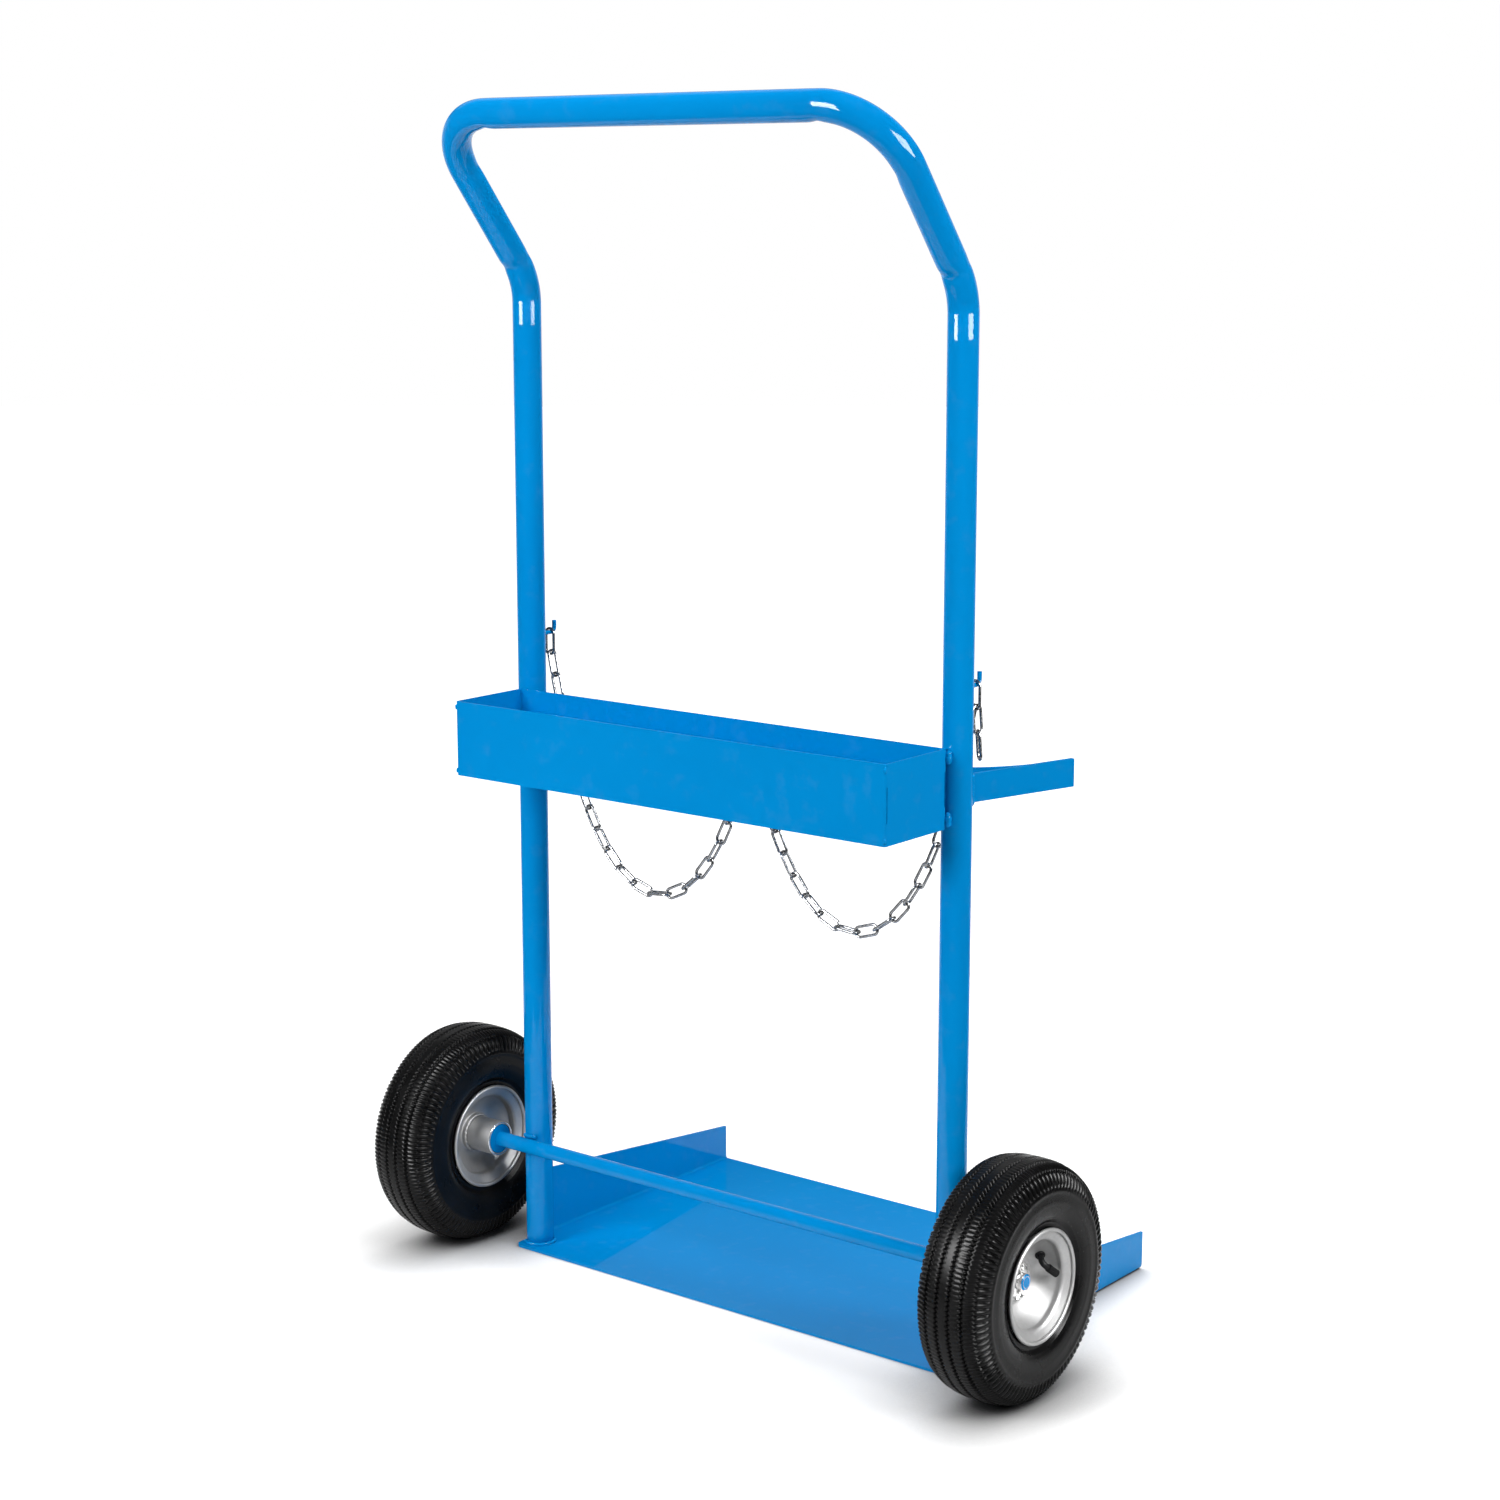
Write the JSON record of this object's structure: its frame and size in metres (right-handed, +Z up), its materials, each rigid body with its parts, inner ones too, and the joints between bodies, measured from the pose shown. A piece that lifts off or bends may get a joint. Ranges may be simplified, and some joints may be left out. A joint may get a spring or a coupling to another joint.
{
  "type": "gas cylinder trolley",
  "caption": "Two-wheeled upright trolley for gas cylinders: bent tube handle frame, flanged base plate, tool tray, cylinder rest, retaining chains and pneumatic wheels.",
  "frame": {"origin": "on the floor, under the base plate, midway between the axes of the two uprights", "axes": "+Z up, +X to the operator's right, +Y from the operator towards the cylinders"},
  "size_m": [0.848, 0.5229, 1.3114],
  "materials": {
    "blue_paint": "gloss",
    "painted_weld": "gloss",
    "tyre_rubber": "matte",
    "butyl_rubber": "satin",
    "rim_zinc": "satin",
    "bearing_steel": "polished",
    "valve_rubber": "satin",
    "cap_plastic": "satin",
    "chain_zinc": "bright",
    "bright_zinc": "bright"
  },
  "bodies": {
    "frame": {"handle_frame": "blue_paint", "cross_tube": "blue_paint", "base_plate": "blue_paint", "axle": "blue_paint", "axle_collars": "blue_paint", "axle_washers": "bright_zinc", "split_pins": "bright_zinc", "bearing_inner_rings": "bearing_steel", "tool_tray": "blue_paint", "cylinder_band": "blue_paint", "side_arm_left": "blue_paint", "side_arm_right": "blue_paint", "chain_hook_left": "blue_paint", "chain_hook_right": "blue_paint", "chain_staple": "blue_paint", "base_welds": "painted_weld", "axle_welds": "painted_weld", "tray_welds": "painted_weld", "rest_welds": "painted_weld"},
    "wheel_left": {"tyre_left": "tyre_rubber", "inner_tube_left": "butyl_rubber", "rim_barrel_left": "rim_zinc", "rim_dish_outer_left": "rim_zinc", "rim_dish_inner_left": "rim_zinc", "hub_tube_left": "rim_zinc", "bearing_outer_rings_left": "bearing_steel", "bearing_balls_left": "bearing_steel", "valve_stem_left": "valve_rubber", "valve_cap_left": "cap_plastic"},
    "wheel_right": {"tyre_right": "tyre_rubber", "inner_tube_right": "butyl_rubber", "rim_barrel_right": "rim_zinc", "rim_dish_outer_right": "rim_zinc", "rim_dish_inner_right": "rim_zinc", "hub_tube_right": "rim_zinc", "bearing_outer_rings_right": "bearing_steel", "bearing_balls_right": "bearing_steel", "valve_stem_right": "valve_rubber", "valve_cap_right": "cap_plastic"},
    "chain_left": {"chain_left": "chain_zinc"},
    "chain_right": {"chain_right": "chain_zinc"}
  },
  "joints": [
    {"name": "wheel_left_spin", "type": "hinge", "parent": "frame", "child": "wheel_left", "pos_m": [-0.383, -0.0244, 0.127], "axis": [1, 0, 0], "continuous": true},
    {"name": "wheel_right_spin", "type": "hinge", "parent": "frame", "child": "wheel_right", "pos_m": [0.383, -0.0244, 0.127], "axis": [1, 0, 0], "continuous": true},
    {"name": "chain_left_swing", "type": "hinge", "parent": "frame", "child": "chain_left", "pos_m": [-0.291, 0.0306, 0.7265], "axis": [0.9256, 0.0075, -0.3784], "range_deg": [-6.5, 4.5]},
    {"name": "chain_right_swing", "type": "hinge", "parent": "frame", "child": "chain_right", "pos_m": [0.291, 0.0306, 0.7265], "axis": [-0.9256, 0.0075, -0.3784], "range_deg": [-4.5, 6.5]}
  ]
}
